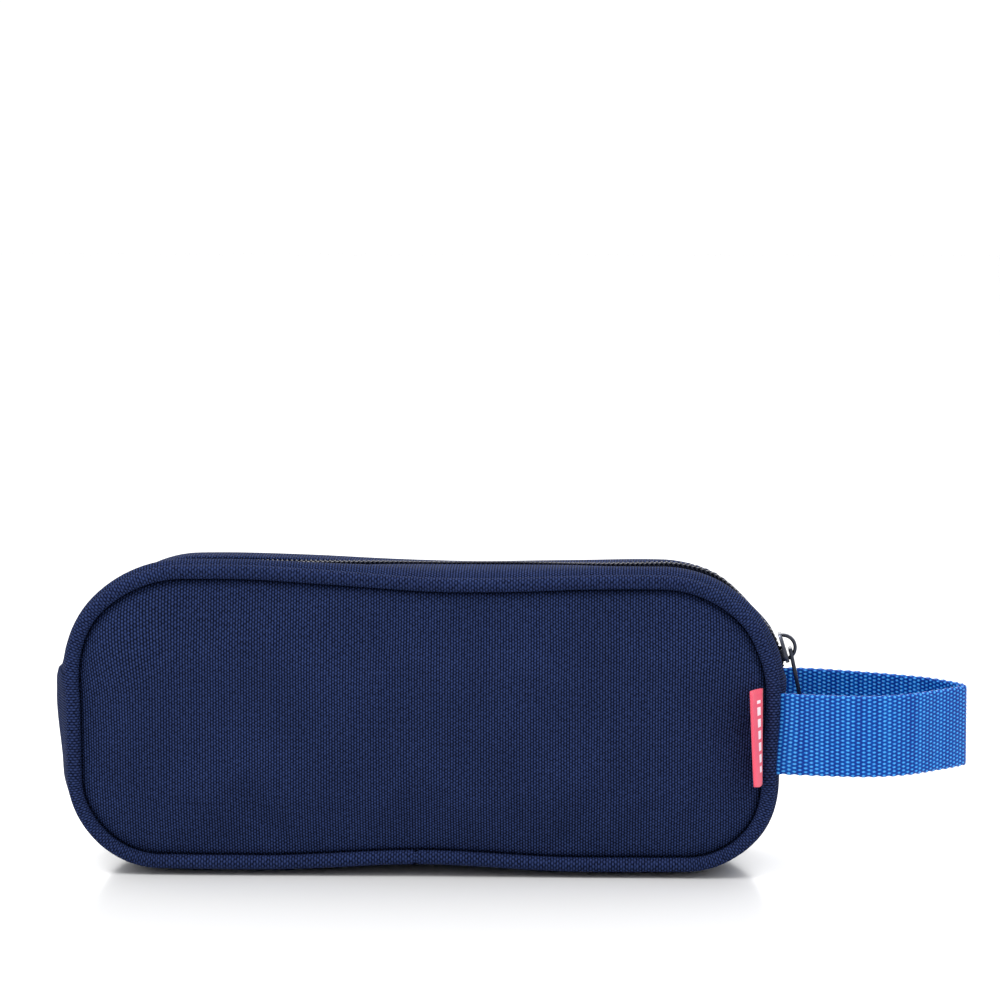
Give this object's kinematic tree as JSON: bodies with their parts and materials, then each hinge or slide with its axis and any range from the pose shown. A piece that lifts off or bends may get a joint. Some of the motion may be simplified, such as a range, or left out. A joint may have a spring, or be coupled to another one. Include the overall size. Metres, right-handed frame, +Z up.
{
  "type": "zipped pencil case",
  "caption": "Box-shaped fabric pencil case with padded panels, piped seams, a zip over the top, a side wrist loop and a folded side label.",
  "frame": {"origin": "middle of the flat underside that the case stands on", "axes": "+X along the case's length towards the wrist strap, +Y from the front panel to the back panel, +Z up through the zip"},
  "size_m": [0.2794, 0.0711, 0.095],
  "materials": {
    "canvas": "navy blue woven polyester canvas, matt with a faint sheen on the threads",
    "lining": "thin plain-woven navy lining",
    "foam": "soft closed-cell foam sheet",
    "piping": "navy canvas wrapped tightly round a cord",
    "piping_cord": "white filler cord",
    "binding": "narrow ribbed binding tape, dark navy",
    "zip_tape": "fine woven polyester zip tape, dark navy",
    "zip_coil": "nylon coil, nearly black, small sharp highlights",
    "thread": "polyester sewing thread",
    "webbing": "royal blue polypropylene webbing with a coarse woven surface",
    "zip_metal": "dark gunmetal plated zinc, smooth and slightly worn",
    "label_cloth": "coral pink woven label with white pattern"
  },
  "bodies": {
    "case": {"back_panel": "canvas", "back_foam": "foam", "back_lining": "lining", "back_piping": "piping", "back_piping_cord": "piping_cord", "back_binding": "binding", "front_panel_lower": "canvas", "front_foam_lower": "foam", "front_lining_lower": "lining", "front_piping_lower": "piping", "front_piping_cord_lower": "piping_cord", "front_binding_lower": "binding", "lower_gusset": "canvas", "gusset_lining": "lining", "back_zip_strip": "canvas", "back_zip_tape": "zip_tape", "back_zip_coil": "zip_coil", "end_stitch_left": "thread", "end_stitch_right": "thread", "strap_end_front": "webbing", "strap_end_back": "webbing"},
    "front_flap": {"front_panel_upper": "canvas", "front_foam_upper": "foam", "front_lining_upper": "lining", "front_piping_upper": "piping", "front_piping_cord_upper": "piping_cord", "front_binding_upper": "binding", "front_zip_strip": "canvas", "front_zip_tape": "zip_tape", "front_zip_coil": "zip_coil"},
    "zip_slider": {"slider_body": "zip_metal", "slider_crown": "zip_metal"},
    "puller": {"zip_puller": "zip_metal"},
    "strap": {"wrist_strap": "webbing"},
    "label": {"side_label": "label_cloth"}
  },
  "joints": [
    {"name": "mouth_open", "type": "hinge", "parent": "case", "child": "front_flap", "pos_m": [0, -0.0314, 0.05997], "axis": [1, 0, 0], "range_deg": [0, 45], "deforming": ["front_zip_tape", "front_zip_coil"]},
    {"name": "slider_travel", "type": "hinge", "parent": "case", "child": "zip_slider", "pos_m": [0.073, 0, 0.056], "axis": [0, -1, 0], "range_deg": [0, 66]},
    {"name": "puller_swing", "type": "hinge", "parent": "zip_slider", "child": "puller", "pos_m": [0.1133, 0, 0.06697], "axis": [0, -1, 0], "range_deg": [0, 150]},
    {"name": "strap_swing", "type": "hinge", "parent": "case", "child": "strap", "pos_m": [0.124, 0, 0.04417], "axis": [0, -1, 0], "range_deg": [-30, 30], "stiffness_Nm_per_rad": 0.05},
    {"name": "label_flip", "type": "hinge", "parent": "case", "child": "label", "pos_m": [0.10489, -0.0306, 0.04382], "axis": [0, 0, 1], "range_deg": [-45, 60], "stiffness_Nm_per_rad": 0.0002}
  ]
}
